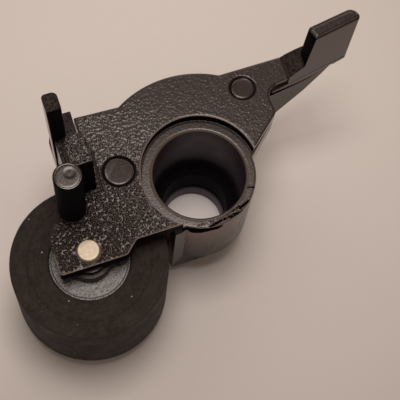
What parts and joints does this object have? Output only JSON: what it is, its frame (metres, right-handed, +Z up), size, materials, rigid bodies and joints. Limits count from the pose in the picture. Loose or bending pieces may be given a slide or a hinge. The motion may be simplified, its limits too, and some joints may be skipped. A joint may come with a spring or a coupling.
{
  "type": "pinch roller arm",
  "caption": "Moulded lever with a deep hub sleeve, guide posts and a finger, carrying a rubber-tyred pressure roller on a fixed steel pin.",
  "frame": {"origin": "on the axis of the hub bore, at the lower face of the hub's foot", "axes": "+Z up along the hub bore towards the posts, +X along the arm from the roller end to the finger end, +Y across the arm away from the roller"},
  "size_m": [0.0542, 0.0307, 0.0372],
  "materials": {
    "arm_plastic": "spark-eroded grain on the upper faces, semi-gloss walls",
    "pin_steel": "ground, slightly warm",
    "bush_plastic": "dark brown, dull",
    "core_metal": "fine grainy grey",
    "tyre_rubber": "matt, finely turned",
    "washer_steel": "plain",
    "clip_steel": "dull spring steel"
  },
  "bodies": {
    "arm": {"arm_moulding": "arm_plastic", "roller_pin": "pin_steel", "thrust_washer": "washer_steel", "retaining_clip": "clip_steel"},
    "roller": {"rubber_tyre": "tyre_rubber", "roller_core": "core_metal", "upper_bush": "bush_plastic", "lower_bush": "bush_plastic"}
  },
  "joints": [
    {"name": "roller_spin", "type": "hinge", "parent": "arm", "child": "roller", "pos_m": [-0.01735, -0.00605, 0.0096], "axis": [0, 0, 1], "continuous": true}
  ]
}
